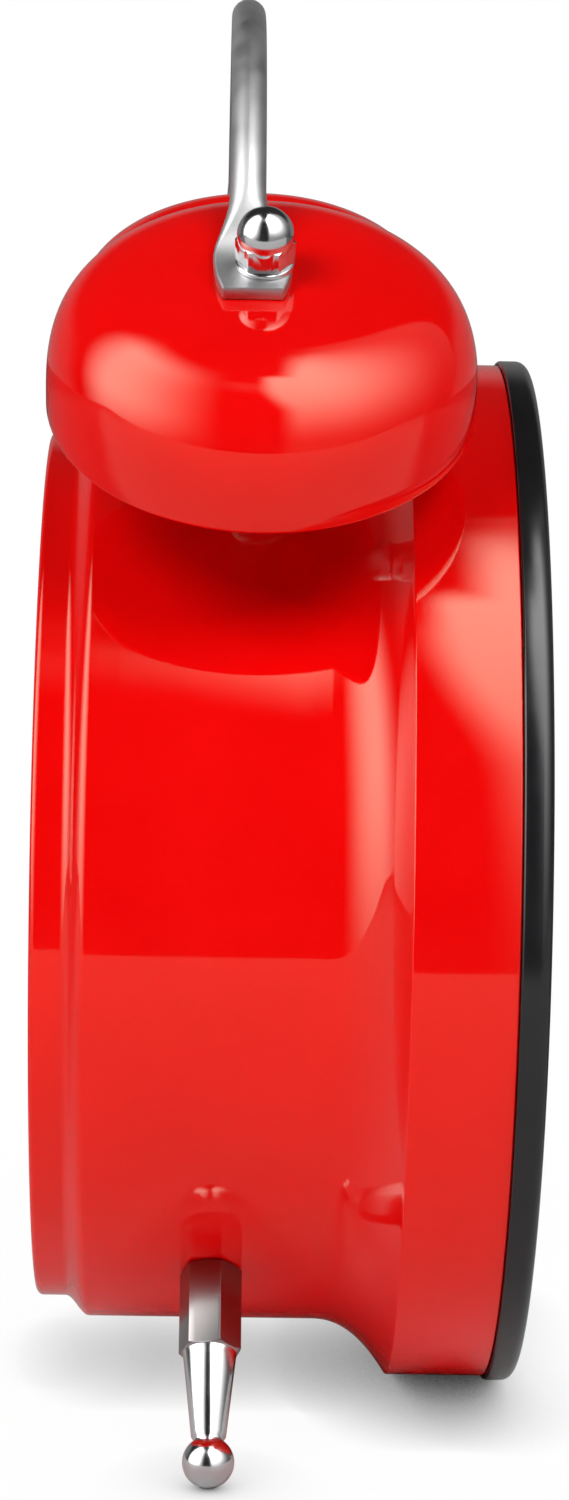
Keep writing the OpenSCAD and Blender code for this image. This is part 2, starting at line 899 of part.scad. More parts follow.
// turned leg: hexagon, taper and ball foot
foot_at = (rim_r - foot_d / 2) / cos(leg_angle);
module leg(s) {
    radial(180 - s * leg_angle, leg_f) {
        bar(leg_stud / 2, leg_nut - 4, drum_r + 1);
        hexagon(leg_af, drum_r, drum_r + leg_hex);
        translate([0, 0, drum_r + leg_hex])
            cylinder(d1 = leg_thick, d2 = leg_thin, h = foot_at - drum_r - leg_hex);
        translate([0, 0, foot_at])
            sphere(d = foot_d);
    }
}

module leg_left() {
    color([0.85, 0.85, 0.87])
        leg(-1);
}

module leg_right() {
    color([0.85, 0.85, 0.87])
        leg(1);
}

module leg_nuts() {
    color([0.75, 0.75, 0.77])
        for (s = [-1, 1])
            radial(180 - s * leg_angle, leg_f)
                difference() {
                    hexagon(leg_nut_af, leg_nut - 3.2, leg_nut);
                    bar(leg_stud / 2, leg_nut - 5, leg_nut + 1);
                }
}

// swinging arm with the striking head above and an iron armature below
pin_r = 1;
ear_at = 3.8;
module hammer() {
    color([0.8, 0.8, 0.82])
        clock()
            difference() {
                union() {
                    translate([0, pivot_v, 0])
                        bar(2.4, bell_f - ear_at + clear, bell_f + ear_at - clear);
                    translate([0, pivot_v, bell_f])
                        rotate([-90, 0, 0])
                            cylinder(r = 1.1, h = head_v - pivot_v);
                    translate([-head_l / 2, head_v, bell_f])
                        rotate([0, 90, 0])
                            cylinder(d = head_d, h = head_l);
                    block([-0.8, pivot_v - 10, bell_f - 2.5], [0.8, pivot_v - 1.5, bell_f + 2.5]);
                }
                translate([0, pivot_v, 0])
                    bar(pin_r + fit, bell_f - 10, bell_f + 10);
            }
}

// strap under the shell, clamped by the post nuts, with two ears for the hammer pin
module hammer_bracket() {
    color([0.72, 0.73, 0.75])
        difference() {
            union() {
                clock()
                    translate([0, 0, bell_f - 5])
                        rotate([0, 0, 90 - bell_tilt - 5])
                            rotate_extrude(angle = 2 * bell_tilt + 10)
                                translate([in_r - strap_t, 0])
                                    square([strap_t, 10]);
                for (z = [bell_f - ear_at - 1, bell_f + ear_at])
                    clock()
                        block([-4, pivot_v - 3, z], [4, in_r - strap_t / 2, z + 1]);
                clock()
                    block([-17, pivot_v - 12, bell_f - ear_at - 1], [4, pivot_v - 2, bell_f - ear_at]);
                clock()
                    block([-17, pivot_v - 12, bell_f - ear_at - 1], [-16, pivot_v - 3, bell_f + 3]);
            }
            for (s = [-1, 1])
                radial(s * bell_tilt, bell_f)
                    bar(stud_hole, in_r - 4, in_r + 4);
            clock()
                block([-slot_x, in_r - 4, bell_f - 2.2], [slot_x, in_r + 4, bell_f + 2.2]);
            clock()
                translate([0, pivot_v, 0])
                    bar(pin_r, bell_f - 10, bell_f + 10);
        }
}

module hammer_pin() {
    color([0.7, 0.7, 0.72])
        clock()
            translate([0, pivot_v, 0])
                bar(pin_r, bell_f - ear_at - 1.4, bell_f + ear_at + 1.4);
}

// electromagnet that pulls the armature
module magnet() {
    color([0.72, 0.36, 0.16])
        clock()
            translate([-16, pivot_v - 7.5, bell_f])
                rotate([0, 90, 0]) {
                    cylinder(r = 1.5, h = 11);
                    cylinder(r = 3.7, h = 1);
                    cylinder(r = 3.2, h = 9.5);
                    translate([0, 0, 9])
                        cylinder(r = 3.7, h = 1);
                }
}

case_shell();
front_bezel();
lens();
dial_ring();
dial();
dial_marks();
dial_nut();
hour_hand();
minute_hand();
second_hand();
alarm_hand();
movement_front();
movement_back();
movement_plate();
circuit_board();
stator();
coil();
rotor();
intermediate_wheel();
second_wheel();
third_wheel();
centre_wheel();
cannon_pinion();
minute_wheel();
hour_wheel();
alarm_wheel();
alarm_stem();
set_knob();
alarm_knob();
back_cover();
back_screws();
battery_door();
battery();
battery_contacts();
alarm_switch();
bell_left();
bell_right();
bell_posts();
post_nuts();
cap_nuts();
handle();
leg_left();
leg_right();
leg_nuts();
hammer();
hammer_bracket();
hammer_pin();
magnet();
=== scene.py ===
import math
from functools import partial
import bpy
from mathutils import Matrix, Vector


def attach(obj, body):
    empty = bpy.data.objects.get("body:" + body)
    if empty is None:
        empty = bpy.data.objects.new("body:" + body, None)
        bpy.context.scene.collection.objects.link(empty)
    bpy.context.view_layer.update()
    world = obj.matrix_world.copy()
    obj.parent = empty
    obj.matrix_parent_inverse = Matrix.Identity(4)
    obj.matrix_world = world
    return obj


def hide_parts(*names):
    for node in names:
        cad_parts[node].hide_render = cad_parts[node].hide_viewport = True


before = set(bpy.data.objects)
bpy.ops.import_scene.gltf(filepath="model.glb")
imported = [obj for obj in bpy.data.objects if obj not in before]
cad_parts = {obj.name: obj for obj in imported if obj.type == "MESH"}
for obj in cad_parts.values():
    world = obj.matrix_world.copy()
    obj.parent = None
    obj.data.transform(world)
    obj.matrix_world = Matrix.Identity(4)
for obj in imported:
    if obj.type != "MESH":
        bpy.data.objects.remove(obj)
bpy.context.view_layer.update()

# Sizes in millimetres and degrees, as in the part's source. A name with _F is a distance forward of the
# clock's rear edge, one with _V a height above its axis, and one with _AT a distance out from the axis.
MM = 0.001
DEPTH = 54.4
AXIS_H = 59.0
# Case
RIM_R = 59.0
BAND_R = 58.5
DRUM_R = 52.3
BACK_R = 50.0
LIP_R = 48.2
WALL = 0.8
STEP_F = 3.2
DRUM_F = 6.0
FLARE_F = 31.5
FLARE_CURVE = 2.2
CREASE_F = 40.0
BEZEL_F = 51.2
SKIRT_R = 57.65
SKIRT_IN_R = 56.2
SKIRT_F = 42.2
# Dial
VIEW_R = 52.0
RING_R = 56.1
FACE_F = 43.0
LENS_F = 49.4
NUMBER_AT = 36.6
NUMBER_H = 9.8
NUMBER_F = FACE_F + 0.045
NUMBER_T = 0.05
# Bells and their posts
BELL_F = 23.61
BELL_TILT = 32.0
BELL_AT = 65.9
BELL_TOP_AT = 82.3
BELL_R = 22.9
BELL_H = 16.4
BELL_T = 1.0
BELL_SHAPE = 3.5
BELL_RIM_R = 0.5
POST_R = 3.0
STUD_R = 1.5
# Handle and cap nuts
ROD_R = 1.9
ROD_F = 21.81
ARCH_R = 46.19
ARCH_V = 51.31
ARCH_REACH = 54.2
EYE_T = 1.5
NUT_AF = 5.49
NUT_TURN = 26.0
NUT_AT = BELL_TOP_AT + EYE_T
DOME_R = 2.99
# Hammer
PIVOT_V = 44.0
HEAD_V = 67.5
# Legs
LEG_ANGLE = 41.4
LEG_F = 19.8
LEG_AF = 6.0
LEG_TURN = 18.0
HEX_END_AT = DRUM_R + 10.0
FOOT_AT = 74.92
FOOT_R = 2.8
# Back
PLATE_F = 5.0
KNOB_R = 6.5
FLUTES = 18
SCREW_AT = 43.0
SWITCH_V = 26.88
CELL_V = -20.02
CELL_F = 15.0

UP = Vector((0, 0, 1))
SIDE = Vector((1, 0, 0))
FORWARD = Vector((0, -1, 0))


def place(x, v, f):
    """A point of the clock: x to the right, v above the axis, f forward of the rear edge."""
    return Vector((x, DEPTH / 2 - f, v + AXIS_H)) * MM


def spoke(angle):
    """Direction away from the clock's axis, clockwise from the top as seen from the dial side."""
    turn = math.radians(angle)
    return Vector((math.sin(turn), 0, math.cos(turn)))


def outward(axis, turn=0.0):
    """Direction square to an axis and away from the middle of the clock, turned towards the dial by degrees."""
    across = axis.cross(FORWARD)
    if across.x * axis.x < 0:
        across = -across
    return across * math.cos(math.radians(turn)) + FORWARD * math.sin(math.radians(turn))


# Modelling

def clear_selection():
    if bpy.context.object and bpy.context.object.mode != "OBJECT":
        bpy.ops.object.mode_set(mode="OBJECT")
    bpy.ops.object.select_all(action="DESELECT")


def only(piece):
    clear_selection()
    piece.select_set(True)
    bpy.context.view_layer.objects.active = piece


def edit(piece, pick="SELECT"):
    only(piece)
    bpy.ops.object.mode_set(mode="EDIT")
    bpy.ops.mesh.select_all(action=pick)


def settle(piece, scale=(1, 1, 1)):
    """Leaves edit mode with the place and scale of the piece in its mesh."""
    bpy.ops.object.mode_set(mode="OBJECT")
    only(piece)
    piece.scale = scale
    bpy.ops.object.transform_apply(location=True, rotation=True, scale=True)
    return piece


def close_up(piece):
    """Merges doubled points and turns all faces outwards."""
    edit(piece)
    bpy.ops.mesh.remove_doubles(threshold=2e-6)
    bpy.ops.mesh.normals_make_consistent(inside=False)
    bpy.ops.object.mode_set(mode="OBJECT")


def smooth(piece, angle=32):
    only(piece)
    bpy.ops.object.shade_smooth_by_angle(angle=math.radians(angle))


def eased(corners, ring=False, parts=6):
    """Outline of (radius, height) in mm through corners (radius, height, ease), each rounded by its ease."""
    line = []
    count = len(corners)
    for i, (radius, height, ease) in enumerate(corners):
        here = Vector((radius, height))
        if ease == 0 or (not ring and i in (0, count - 1)):
            line.append((radius, height))
            continue
        back = (Vector(corners[i - 1][:2]) - here).normalized()
        ahead = (Vector(corners[(i + 1) % count][:2]) - here).normalized()
        half = back.angle(ahead) / 2
        centre = here + (back + ahead).normalized() * (ease / math.sin(half))
        first = here + back * (ease / math.tan(half)) - centre
        last = here + ahead * (ease / math.tan(half)) - centre
        start = math.atan2(first.y, first.x)
        sweep = (math.atan2(last.y, last.x) - start + math.pi) % (2 * math.pi) - math.pi
        for k in range(parts + 1):
            turn = start + sweep * k / parts
            line.append((centre.x + ease * math.cos(turn), centre.y + ease * math.sin(turn)))
    if ring:
        line.append(line[0])
    return line


def turned(name, outline, origin, axis, side, steps):
    """Draws an outline beside an axis, as on a lathe, and spins it round."""
    points = [origin + side * (r * MM) + axis * (h * MM) for r, h in outline]
    clear_selection()
    bpy.ops.mesh.primitive_plane_add(size=0.001, location=points[0])
    piece = bpy.context.object
    piece.name = name
    bpy.ops.object.transform_apply(location=True, rotation=True, scale=True)
    bpy.ops.object.mode_set(mode="EDIT")
    bpy.ops.mesh.select_all(action="SELECT")
    bpy.ops.mesh.merge(type="CENTER")
    for before, after in zip(points, points[1:]):
        bpy.ops.mesh.extrude_region_move(TRANSFORM_OT_translate={"value": after - before})
    bpy.ops.mesh.select_all(action="SELECT")
    bpy.ops.mesh.spin(steps=steps, angle=2 * math.pi, center=origin, axis=axis)
    close_up(piece)
    return piece


def joined(name, pieces):
    only(pieces[0])
    for piece in pieces:
        piece.select_set(True)
    bpy.ops.object.join()
    pieces[0].name = name
    return pieces[0]


def cut_by(piece, cutter, kept="DIFFERENCE"):
    """Cuts one piece with another, which is then thrown away."""
    only(piece)
    cut = piece.modifiers.new("cut", "BOOLEAN")
    cut.operation = kept
    cut.solver = "EXACT"
    cut.object = cutter
    bpy.ops.object.modifier_apply(modifier="cut")
    bpy.data.objects.remove(cutter)


def fused(name, pieces):
    """One closed piece out of several that overlap."""
    for piece in pieces[1:]:
        cut_by(pieces[0], piece, "UNION")
    close_up(pieces[0])
    pieces[0].name = name
    return pieces[0]


def aim(axis, side):
    """Turn that takes Z to axis and X to side, as Euler angles."""
    return Matrix((side, axis.cross(side), axis)).transposed().to_euler()


def rounded(piece, width, angle=30):
    """Rounds the edges of a piece that are sharper than the angle."""
    only(piece)
    ease = piece.modifiers.new("ease", "BEVEL")
    ease.width = width * MM
    ease.segments = 2
    ease.limit_method = "ANGLE"
    ease.angle_limit = math.radians(angle)
    bpy.ops.object.modifier_apply(modifier="ease")


def box(name, low, high, ease=0.0, segments=3):
    """Block between two corners (x, v, f), its edges rounded by ease."""
    clear_selection()
    bpy.ops.mesh.primitive_cube_add(size=1, location=(place(*low) + place(*high)) / 2)
    piece = settle(bpy.context.object, [abs(a - b) for a, b in zip(place(*low), place(*high))])
    piece.name = name
    if ease:
        edit(piece)
        bpy.ops.mesh.bevel(offset=ease * MM, segments=segments, affect="EDGES")
        bpy.ops.object.mode_set(mode="OBJECT")
    return piece


def hexagon(name, across_flats, low, high, origin, axis, corner):
    """Hexagonal bar along axis, its ends turned to a chamfer, one corner towards the given direction."""
    reach = across_flats / math.sqrt(3)
    clear_selection()
    bpy.ops.mesh.primitive_cylinder_add(
        vertices=6, radius=reach * MM, depth=(high - low) * MM,
        location=origin + axis * ((low + high) / 2 * MM), rotation=aim(axis, corner.cross(axis)))
    piece = settle(bpy.context.object)
    piece.name = name
    end = across_flats / 2 * 0.96
    clear = reach * 1.02
    cut = (reach - end) * 0.6
    stock_line = [(0, low), (end, low), (clear, low + cut), (clear, high - cut), (end, high), (0, high)]
    cut_by(piece, turned(name + "_stock", stock_line, origin, axis, FORWARD, 96), "INTERSECT")
    rounded(piece, 0.09, 25)
    return piece


# Finishes

def effect(name, outputs, **inputs):
    """Empty shader group with float inputs and the named outputs."""
    group = bpy.data.node_groups.new(name, "ShaderNodeTree")
    for key, value in inputs.items():
        socket = group.interface.new_socket(key, in_out="INPUT", socket_type="NodeSocketFloat")
        socket.default_value = value
    for key, kind in outputs:
        group.interface.new_socket(key, in_out="OUTPUT", socket_type="NodeSocket" + kind)
    source = group.nodes.new("NodeGroupInput")
    sink = group.nodes.new("NodeGroupOutput")
    return group, source, sink


def add(tree, kind, **settings):
    """New node with settings by attribute, or by input where the key is an input's name."""
    node = tree.nodes.new(kind)
    for key, value in settings.items():
        if hasattr(node, key):
            setattr(node, key, value)
        else:
            node.inputs[key.replace("_", " ")].default_value = value
    return node


def math_node(tree, operation, *values):
    """Result of a math node on numbers or sockets."""
    node = add(tree, "ShaderNodeMath", operation=operation)
    for socket, value in zip(node.inputs, values):
        if isinstance(value, (int, float)):
            socket.default_value = value
        else:
            tree.links.new(value, socket)
    return node.outputs["Value"]


def ramp_node(tree, value, start, end, low=0.0, high=1.0, kind="SMOOTHSTEP"):
    """Value that goes from low to high between start and end."""
    node = add(tree, "ShaderNodeMapRange", interpolation_type=kind)
    tree.links.new(value, node.inputs["Value"])
    for key, number in (("From Min", start), ("From Max", end), ("To Min", low), ("To Max", high)):
        node.inputs[key].default_value = number
    return node.outputs["Result"]


def axes(tree, kind):
    """X, Y and Z of a kind of coordinates."""
    where = add(tree, "ShaderNodeTexCoord")
    split = add(tree, "ShaderNodeSeparateXYZ")
    tree.links.new(where.outputs[kind], split.inputs["Vector"])
    return [split.outputs[key] for key in "XYZ"]


def make_drift():
    """Slow change over the surface between two values."""
    group, source, sink = effect("drift", [("Value", "Float")], Scale=80.0, Low=0.0, High=1.0)
    where = add(group, "ShaderNodeTexCoord")
    noise = add(group, "ShaderNodeTexNoise", Detail=4.0, Roughness=0.55)
    spread = add(group, "ShaderNodeMapRange")
    spread.inputs["From Min"].default_value = 0.3
    spread.inputs["From Max"].default_value = 0.7
    join = group.links.new
    join(where.outputs["Object"], noise.inputs["Vector"])
    join(source.outputs["Scale"], noise.inputs["Scale"])
    join(noise.outputs["Fac"], spread.inputs["Value"])
    join(source.outputs["Low"], spread.inputs["To Min"])
    join(source.outputs["High"], spread.inputs["To Max"])
    join(spread.outputs["Result"], sink.inputs["Value"])
    return group


def make_grain():
    """Fine unevenness as a normal."""
    group, source, sink = effect("grain", [("Normal", "Vector")], Scale=2000.0, Strength=0.1, Distance=0.0001)
    where = add(group, "ShaderNodeTexCoord")
    noise = add(group, "ShaderNodeTexNoise", Detail=3.0)
    bump = add(group, "ShaderNodeBump")
    join = group.links.new
    join(where.outputs["Object"], noise.inputs["Vector"])
    join(source.outputs["Scale"], noise.inputs["Scale"])
    join(noise.outputs["Fac"], bump.inputs["Height"])
    join(source.outputs["Strength"], bump.inputs["Strength"])
    join(source.outputs["Distance"], bump.inputs["Distance"])
    join(bump.outputs["Normal"], sink.inputs["Normal"])
    return group


def make_worn_edge():
    """Mask of the sharp outer edges, broken up by noise."""
    group, source, sink = effect("worn_edge", [("Mask", "Float")], From=0.52, To=0.6, Scale=300.0, Most=1.0)
    join = group.links.new
    shape = add(group, "ShaderNodeNewGeometry")
    where = add(group, "ShaderNodeTexCoord")
    noise = add(group, "ShaderNodeTexNoise", Detail=5.0)
    join(where.outputs["Object"], noise.inputs["Vector"])
    join(source.outputs["Scale"], noise.inputs["Scale"])
    blots = ramp_node(group, noise.outputs["Fac"], 0.4, 0.65, kind="LINEAR")
    band = add(group, "ShaderNodeMapRange")
    join(shape.outputs["Pointiness"], band.inputs["Value"])
    join(source.outputs["From"], band.inputs["From Min"])
    join(source.outputs["To"], band.inputs["From Max"])
    broken = math_node(group, "MULTIPLY", band.outputs["Result"], blots)
    join(math_node(group, "MULTIPLY", broken, source.outputs["Most"]), sink.inputs["Mask"])
    return group


drift = make_drift()
grain = make_grain()
worn_edge = make_worn_edge()


def use(material, group, **values):
    """Node of a group in a material, with the given inputs."""
    node = material.node_tree.nodes.new("ShaderNodeGroup")
    node.node_tree = group
    for key, value in values.items():
        node.inputs[key].default_value = value
    return node


finishes = {}


def finish(name, colour, second, colour_scale, rough, rough_scale, bump, wear=None, **sockets):
    """Finish with two close colours drifting into each other and a roughness drifting between two values.
    The bump is the scale, strength and distance of a fine grain. The wear is a colour along the edges and
    its largest share."""
    material = bpy.data.materials.new(name)
    material.use_nodes = True
    tree = material.node_tree
    join = tree.links.new
    shader = tree.nodes["Principled BSDF"]
    for key, value in sockets.items():
        shader.inputs[key.replace("_", " ")].default_value = value
    shade = use(material, drift, Scale=colour_scale)
    mix = add(tree, "ShaderNodeMix", data_type="RGBA")
    mix.inputs[6].default_value = (*colour, 1)
    mix.inputs[7].default_value = (*second, 1)
    join(shade.outputs["Value"], mix.inputs["Factor"])
    tint = mix.outputs[2]
    if wear:
        edge = use(material, worn_edge, Most=wear[1])
        worn = add(tree, "ShaderNodeMix", data_type="RGBA")
        worn.inputs[7].default_value = (*wear[0], 1)
        join(edge.outputs["Mask"], worn.inputs["Factor"])
        join(tint, worn.inputs[6])
        tint = worn.outputs[2]
    join(tint, shader.inputs["Base Color"])
    gloss = use(material, drift, Scale=rough_scale, Low=rough[0], High=rough[1])
    join(gloss.outputs["Value"], shader.inputs["Roughness"])
    uneven = use(material, grain, Scale=bump[0], Strength=bump[1], Distance=bump[2])
    join(uneven.outputs["Normal"], shader.inputs["Normal"])
    finishes[name] = material
    return material


finish("red_enamel", (0.78, 0.0008, 0.0010), (0.84, 0.0018, 0.0020), 60, (0.03, 0.06), 140,
       (900, 0.05, 0.00004), IOR=1.5, Specular_IOR_Level=0.55, Specular_Tint=(1.0, 1.0, 0.72, 1.0))
finish("black_gloss", (0.008, 0.008, 0.009), (0.014, 0.014, 0.015), 120, (0.12, 0.2), 160,
       (1500, 0.06, 0.00004), ((0.06, 0.06, 0.06), 0.5), IOR=1.5)
CHROME = ((0.64, 0.64, 0.65), (0.72, 0.72, 0.73), 220, (0.10, 0.18), 320, (2600, 0.03, 0.00003))
finish("chrome", *CHROME, Metallic=1.0)
leg_chrome = finish("leg_chrome", *CHROME, Metallic=1.0)
finish("handle_satin", (0.42, 0.42, 0.425), (0.50, 0.50, 0.505), 260, (0.42, 0.50), 350,
       (2200, 0.10, 0.00005), Metallic=1.0)
finish("dial_white", (0.83, 0.82, 0.77), (0.87, 0.86, 0.82), 45, (0.5, 0.62), 200,
       (6000, 0.08, 0.00004))
finish("dial_black", (0.012, 0.012, 0.013), (0.02, 0.02, 0.021), 300, (0.42, 0.55), 300,
       (5000, 0.08, 0.00003))
finish("hand_black", (0.011, 0.011, 0.012), (0.02, 0.02, 0.022), 260, (0.25, 0.38), 300,
       (4000, 0.06, 0.00003), ((0.12, 0.12, 0.12), 0.6))
finish("hand_red", (0.6, 0.012, 0.01), (0.68, 0.02, 0.014), 260, (0.25, 0.36), 300,
       (4000, 0.06, 0.00003))
finish("brass", (0.66, 0.44, 0.14), (0.76, 0.53, 0.2), 300, (0.2, 0.34), 400,
       (5000, 0.08, 0.00003), Metallic=1.0)
finish("movement_black", (0.02, 0.02, 0.022), (0.03, 0.03, 0.033), 150, (0.42, 0.55), 300,
       (4000, 0.2, 0.00005))
finish("wheel_white", (0.74, 0.74, 0.70), (0.8, 0.8, 0.77), 200, (0.4, 0.5), 300,
       (3000, 0.08, 0.00003))
finish("board_green", (0.012, 0.13, 0.045), (0.02, 0.18, 0.065), 180, (0.3, 0.45), 300,
       (3000, 0.1, 0.00004))
finish("iron", (0.4, 0.4, 0.42), (0.52, 0.52, 0.54), 250, (0.24, 0.4), 350,
       (3500, 0.12, 0.00004), Metallic=1.0)
finish("copper_wire", (0.5, 0.17, 0.06), (0.6, 0.22, 0.08), 400, (0.25, 0.35), 500,
       (3500, 0.3, 0.00008), Metallic=1.0)
finish("back_black", (0.015, 0.015, 0.016), (0.021, 0.021, 0.022), 420, (0.47, 0.56), 800,
       (3200, 0.45, 0.00012), ((0.07, 0.07, 0.07), 0.4))
finish("knob_black", (0.012, 0.012, 0.013), (0.02, 0.02, 0.021), 200, (0.22, 0.34), 300,
       (2600, 0.15, 0.00005), ((0.09, 0.09, 0.09), 0.5))
finish("switch_red", (0.55, 0.012, 0.01), (0.62, 0.02, 0.016), 300, (0.3, 0.42), 400,
       (3000, 0.15, 0.00005))
finish("cell_jacket", (0.03, 0.035, 0.045), (0.045, 0.05, 0.06), 200, (0.25, 0.36), 300,
       (3000, 0.05, 0.00003))


def lens_finish():
    """Clear lens: faint smears in the gloss, and shadow rays pass straight through."""
    material = finish("clear_lens", (0.93, 0.96, 0.96), (0.97, 0.98, 0.98), 40, (0.0, 0.03), 60,
                      (400, 0.01, 0.00002), IOR=1.49, Transmission_Weight=1.0)
    tree = material.node_tree
    join = tree.links.new
    ray = add(tree, "ShaderNodeLightPath")
    through = add(tree, "ShaderNodeBsdfTransparent")
    pick = add(tree, "ShaderNodeMixShader")
    join(ray.outputs["Is Shadow Ray"], pick.inputs["Fac"])
    join(tree.nodes["Principled BSDF"].outputs["BSDF"], pick.inputs[1])
    join(through.outputs["BSDF"], pick.inputs[2])
    join(pick.outputs["Shader"], tree.nodes["Material Output"].inputs["Surface"])


lens_finish()

# The solids keep their slots and get the finish of the same name
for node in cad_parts.values():
    for held in node.material_slots:
        base = held.material.name.split(".")[0] if held.material else ""
        if base in finishes:
            held.material = finishes[base]


def fit(piece, slot, body, *nodes, look=None):
    """Gives a piece its finish and body, and hides the solids that it stands for."""
    piece.data.materials.clear()
    piece.data.materials.append(finishes[look or slot])
    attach(piece, body)
    if nodes:
        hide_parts(*nodes)


# Case

def shell_line():
    """Outer and inner line of the case shell, rear edge first, as (radius, distance)."""
    def flare(radius, share):
        return radius + (BAND_R - DRUM_R) * share ** FLARE_CURVE, FLARE_F + (CREASE_F - FLARE_F) * share
    front = BEZEL_F - 0.05
    outer = eased([(LIP_R, WALL, 0), (LIP_R, 0.0, 0.15), (BACK_R, 0.0, 0.7), (BACK_R, STEP_F, 0)])
    for k in range(1, 15):
        rise = (1 - math.cos(math.pi * k / 14)) / 2
        outer.append((BACK_R + (DRUM_R - BACK_R) * rise, STEP_F + (DRUM_F - STEP_F) * k / 14))
    outer += [(DRUM_R, DRUM_F + (FLARE_F - DRUM_F) * k / 8) for k in range(1, 8)]
    outer += [flare(DRUM_R, k / 24) for k in range(24)]
    outer += eased([(*outer[-1], 0), (BAND_R, CREASE_F, 0.25), (BAND_R, front, 0.25),
                    (BAND_R - WALL, front, 0)])[1:]
    inner = [flare(DRUM_R - WALL, k / 12) for k in range(12, -1, -1)]
    inner += [(DRUM_R - WALL, DRUM_F), (BACK_R - WALL, STEP_F), (BACK_R - WALL, WALL), (LIP_R, WALL)]
    return outer + inner


rear_centre = place(0, 0, 0)
case_shell = turned("case_shell_painted", shell_line(), rear_centre, FORWARD, SIDE, 256)
hammer_slot = box("hammer_slot", (-4.5, DRUM_R - 4.0, BELL_F - 2.2), (4.5, DRUM_R + 4.0, BELL_F + 2.2), 0.6)
cut_by(case_shell, hammer_slot)
smooth(case_shell, 40)
fit(case_shell, "red_enamel", "case", "case_shell")

bezel_line = eased([
    (VIEW_R, BEZEL_F, 0), (VIEW_R, BEZEL_F + 0.9, 0.4), (VIEW_R + 3.2, DEPTH, 1.0), (RIM_R, DEPTH, 1.2),
    (RIM_R, BEZEL_F, 0.3), (SKIRT_R, BEZEL_F, 0), (SKIRT_R, SKIRT_F, 0.3), (SKIRT_IN_R, SKIRT_F, 0.3),
    (SKIRT_IN_R, BEZEL_F, 0)], ring=True)
bezel = turned("front_bezel_ring", bezel_line, rear_centre, FORWARD, SIDE, 256)
smooth(bezel, 35)
fit(bezel, "black_gloss", "case", "front_bezel")

ring_line = eased([
    (RING_R, FACE_F, 0), (50.4, FACE_F, 0.2), (52.6, LENS_F, 0.3), (RING_R, LENS_F, 0)], ring=True)
dial_ring = turned("dial_ring_cone", ring_line, rear_centre, FORWARD, SIDE, 192)
smooth(dial_ring, 35)
fit(dial_ring, "dial_white", "case", "dial_ring")


# Bells

def bell_line():
    """Outer line of the bell from the top down, over the rolled rim and up the inner side."""
    def wall(radius, height, turns):
        power = 2 / BELL_SHAPE
        return [(radius * math.cos(t) ** power, height * math.sin(t) ** power) for t in turns]
    turns = [math.radians(90 - 90 * (k / 46) ** 1.35) for k in range(1, 46)]
    outer = [(0, BELL_H)] + wall(BELL_R, BELL_H, turns)
    inner = wall(BELL_R - BELL_T, BELL_H - BELL_T, turns[::-3]) + [(0, BELL_H - BELL_T)]
    rim = []
    for angle in range(0, -181, -30):
        turn = math.radians(angle)
        rim.append((BELL_R - BELL_RIM_R + BELL_RIM_R * math.cos(turn),
                    BELL_RIM_R + BELL_RIM_R * math.sin(turn)))
    above_rim = BELL_RIM_R + 0.05
    return [p for p in outer if p[1] > above_rim] + rim + [p for p in inner if p[1] > above_rim]


bell_centre = place(0, 0, BELL_F)
for name, tilt in (("bell_left", -BELL_TILT), ("bell_right", BELL_TILT)):
    axis = spoke(tilt)
    bell = turned(name + "_painted", bell_line(), bell_centre + axis * (BELL_AT * MM), axis, FORWARD, 192)
    smooth(bell, 40)
    fit(bell, "red_enamel", "case", name)


# Handle and cap nuts

def bar_section(centre, along, wide, half_wide, half_thick, ease):
    """Rounded rectangle across the bar, as an open loop of edges."""
    clear_selection()
    bpy.ops.mesh.primitive_plane_add(size=2, location=centre, rotation=aim(along, wide))
    loop = settle(bpy.context.object, (half_wide * MM, half_thick * MM, 1))
    edit(loop)
    bpy.ops.mesh.bevel(offset=ease * MM, segments=7, affect="VERTICES")
    bpy.ops.mesh.delete(type="ONLY_FACE")
    bpy.ops.object.mode_set(mode="OBJECT")
    return loop


# Sections of the flattened end from its tip inwards: distance outward from the stud, height above the bell,
# half width, half thickness, corner and dip in degrees
END_SECTIONS = ((4.5, 0.72, 3.0, 0.6, 0.3, 0), (4.4, 0.75, 3.2, 0.73, 0.3, 0),
                (3.4, 0.75, 3.5, 0.75, 0.3, 0), (2.0, 0.75, 3.85, 0.75, 0.3, 0),
                (0.0, 0.75, 4.05, 0.75, 0.3, 0), (-1.8, 0.78, 3.98, 0.78, 0.35, 3),
                (-3.2, 0.98, 3.7, 0.92, 0.6, 9), (-4.4, 1.36, 3.25, 1.12, 0.9, 15),
                (-5.6, 1.92, 2.75, 1.38, 1.25, 21), (-6.9, 2.6, 2.3, 1.62, 1.55, 26),
                (-8.2, 3.28, 2.0, 1.8, 1.76, 29))
ARCH_STEPS = 44


def handle_sections():
    """Centre, direction and size of the bar from one flattened end over the arch to the other."""
    ends = []
    for sign in (-1, 1):
        out = spoke(sign * BELL_TILT)
        outboard = outward(out)
        end = []
        for u, rise, half_wide, half_thick, ease, dip in END_SECTIONS:
            shift = min(1.0, max(0.0, -u / 6.0))
            middle = place(0, 0, BELL_F - 1.2 - 0.6 * shift)
            centre = middle + out * ((BELL_TOP_AT + rise) * MM) + outboard * (u * MM)
            turn = math.radians(dip)
            along = (outboard * math.cos(turn) - out * math.sin(turn)).normalized()
            end.append((centre, along * sign, FORWARD, half_wide, half_thick, ease))
        ends.append(end)
    arch = []
    for k in range(ARCH_STEPS + 1):
        out = spoke(ARCH_REACH * (2 * k / ARCH_STEPS - 1))
        centre = place(0, ARCH_V, ROD_F) + out * (ARCH_R * MM)
        arch.append((centre, out.cross(FORWARD), FORWARD, ROD_R, ROD_R, ROD_R - 0.02))
    return ends[0] + arch + ends[1][::-1]


